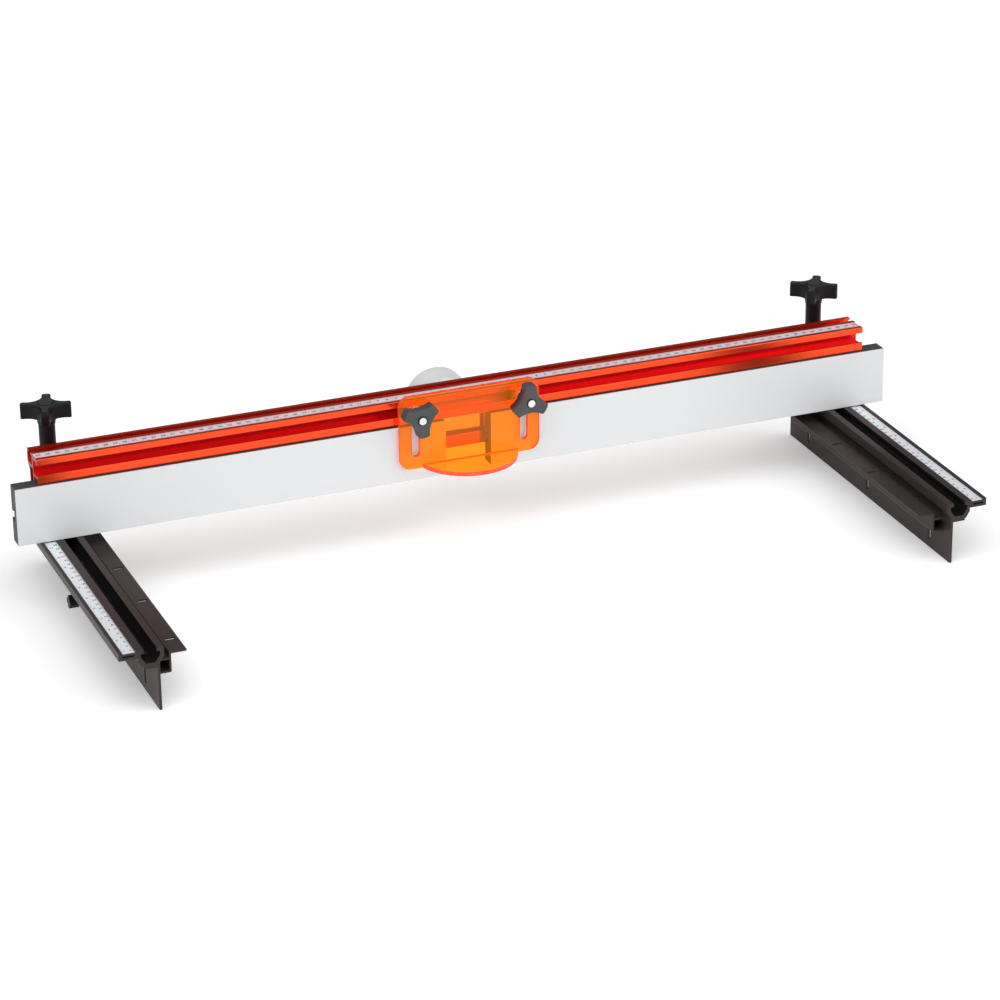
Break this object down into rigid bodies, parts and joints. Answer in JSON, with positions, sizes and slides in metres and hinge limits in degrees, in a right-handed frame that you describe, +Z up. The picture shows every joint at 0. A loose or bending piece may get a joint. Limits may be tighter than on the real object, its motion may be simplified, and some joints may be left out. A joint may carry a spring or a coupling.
{
  "type": "router table fence",
  "caption": "Adjustable router table fence on two T-slot rails, with sliding faces, a clear bit guard, a dust spigot, scales, lobed clamp knobs and slotted table brackets.",
  "frame": {"origin": "middle of the bit gap, on the front plane of the faces, at table-top level (the top of the rails)", "axes": "+X along the fence to the right, +Y backwards from the faces to the dust spigot, +Z up"},
  "size_m": [0.9642, 0.37, 0.1884],
  "materials": {
    "anodised_red": "bright anodised",
    "anodised_black": "satin anodised",
    "cast_black": "powder coated",
    "tube_black": "powder coated",
    "scale_white": "printed film",
    "core_dark": "sawn dense board",
    "laminate_white": "satin laminate",
    "acrylic_orange": "polished clear",
    "knob_black": "moulded",
    "knob_grey": "moulded",
    "zinc_steel": "zinc plated",
    "brass_insert": "turned",
    "hood_pale": "moulded translucent"
  },
  "bodies": {
    "brackets": {"left_table_bracket": "anodised_black", "left_rail_bolt": "zinc_steel", "left_rail_washer": "zinc_steel", "right_table_bracket": "anodised_black", "right_rail_bolt": "zinc_steel", "right_rail_washer": "zinc_steel"},
    "left_rail": {"left_rail_track": "anodised_black", "left_rail_plate": "anodised_black", "left_rail_screws": "zinc_steel", "left_rail_scale": "scale_white"},
    "right_rail": {"right_rail_track": "anodised_black", "right_rail_plate": "anodised_black", "right_rail_screws": "zinc_steel", "right_rail_scale": "scale_white"},
    "fence": {"fence_beam": "anodised_red", "beam_scale": "scale_white", "left_foot": "cast_black", "left_foot_bolts": "zinc_steel", "left_rivet_nuts": "zinc_steel", "left_post": "tube_black", "left_clamp_washer": "knob_black", "left_t_nut": "zinc_steel", "right_foot": "cast_black", "right_foot_bolts": "zinc_steel", "right_rivet_nuts": "zinc_steel", "right_post": "tube_black", "right_clamp_washer": "knob_black", "right_t_nut": "zinc_steel", "face_bolts": "zinc_steel", "face_washers": "zinc_steel", "dust_hood": "hood_pale", "hood_screws": "zinc_steel"},
    "left_face": {"left_face_core": "core_dark", "left_face_laminate": "laminate_white"},
    "right_face": {"right_face_core": "core_dark", "right_face_laminate": "laminate_white"},
    "guard_carriage": {"guard_bolts": "zinc_steel", "guard_spacers": "zinc_steel", "guard_washers": "zinc_steel"},
    "guard": {"guard_plate": "acrylic_orange", "guard_shelf": "acrylic_orange"},
    "left_clamp": {"left_clamp_knob": "knob_black", "left_clamp_stud": "zinc_steel"},
    "left_guard_grip": {"left_guard_knob": "knob_grey", "left_knob_insert": "brass_insert"},
    "left_rail_grip": {"left_rail_knob": "knob_black"},
    "left_inner_face_grip": {"left_inner_face_knob": "knob_black"},
    "left_outer_face_grip": {"left_outer_face_knob": "knob_black"},
    "right_clamp": {"right_clamp_knob": "knob_black", "right_clamp_stud": "zinc_steel"},
    "right_guard_grip": {"right_guard_knob": "knob_grey", "right_knob_insert": "brass_insert"},
    "right_rail_grip": {"right_rail_knob": "knob_black"},
    "right_inner_face_grip": {"right_inner_face_knob": "knob_black"},
    "right_outer_face_grip": {"right_outer_face_knob": "knob_black"}
  },
  "joints": [
    {"name": "left_rail_height", "type": "slide", "parent": "brackets", "child": "left_rail", "axis": [0, 0, 1], "range_m": [0, 0.029]},
    {"name": "right_rail_height", "type": "slide", "parent": "brackets", "child": "right_rail", "axis": [0, 0, 1], "range_m": [0, 0.029]},
    {"name": "fence_slide", "type": "slide", "parent": "left_rail", "child": "fence", "axis": [0, 1, 0], "range_m": [-0.3, 0.015]},
    {"name": "left_face_slide", "type": "slide", "parent": "fence", "child": "left_face", "axis": [1, 0, 0], "range_m": [-0.03, 0.022]},
    {"name": "right_face_slide", "type": "slide", "parent": "fence", "child": "right_face", "axis": [1, 0, 0], "range_m": [-0.022, 0.03]},
    {"name": "guard_traverse", "type": "slide", "parent": "fence", "child": "guard_carriage", "axis": [1, 0, 0], "range_m": [-0.37, 0.37]},
    {"name": "guard_lift", "type": "slide", "parent": "guard_carriage", "child": "guard", "axis": [0, 0, 1], "range_m": [-0.002, 0.036]},
    {"name": "left_clamp_turn", "type": "hinge", "parent": "fence", "child": "left_clamp", "pos_m": [-0.429, 0.066, 0.11], "axis": [0, 0, 1], "continuous": true},
    {"name": "left_guard_knob_turn", "type": "hinge", "parent": "guard_carriage", "child": "left_guard_grip", "pos_m": [-0.06, -0.017, 0.0765], "axis": [0, -1, 0], "continuous": true},
    {"name": "left_rail_knob_turn", "type": "hinge", "parent": "brackets", "child": "left_rail_grip", "pos_m": [-0.44, -0.088, -0.02675], "axis": [-1, 0, 0], "continuous": true},
    {"name": "left_inner_face_knob_turn", "type": "hinge", "parent": "fence", "child": "left_inner_face_grip", "pos_m": [-0.11, 0.042, 0.0295], "axis": [0, 1, 0], "continuous": true},
    {"name": "left_outer_face_knob_turn", "type": "hinge", "parent": "fence", "child": "left_outer_face_grip", "pos_m": [-0.34, 0.042, 0.0295], "axis": [0, 1, 0], "continuous": true},
    {"name": "right_clamp_turn", "type": "hinge", "parent": "fence", "child": "right_clamp", "pos_m": [0.429, 0.066, 0.11], "axis": [0, 0, 1], "continuous": true},
    {"name": "right_guard_knob_turn", "type": "hinge", "parent": "guard_carriage", "child": "right_guard_grip", "pos_m": [0.06, -0.017, 0.0765], "axis": [0, -1, 0], "continuous": true},
    {"name": "right_rail_knob_turn", "type": "hinge", "parent": "brackets", "child": "right_rail_grip", "pos_m": [0.44, -0.088, -0.02675], "axis": [1, 0, 0], "continuous": true},
    {"name": "right_inner_face_knob_turn", "type": "hinge", "parent": "fence", "child": "right_inner_face_grip", "pos_m": [0.11, 0.042, 0.0295], "axis": [0, 1, 0], "continuous": true},
    {"name": "right_outer_face_knob_turn", "type": "hinge", "parent": "fence", "child": "right_outer_face_grip", "pos_m": [0.34, 0.042, 0.0295], "axis": [0, 1, 0], "continuous": true}
  ],
  "couplings": [
    {"joint": "right_rail_height", "follows": "left_rail_height", "ratio": 1}
  ]
}
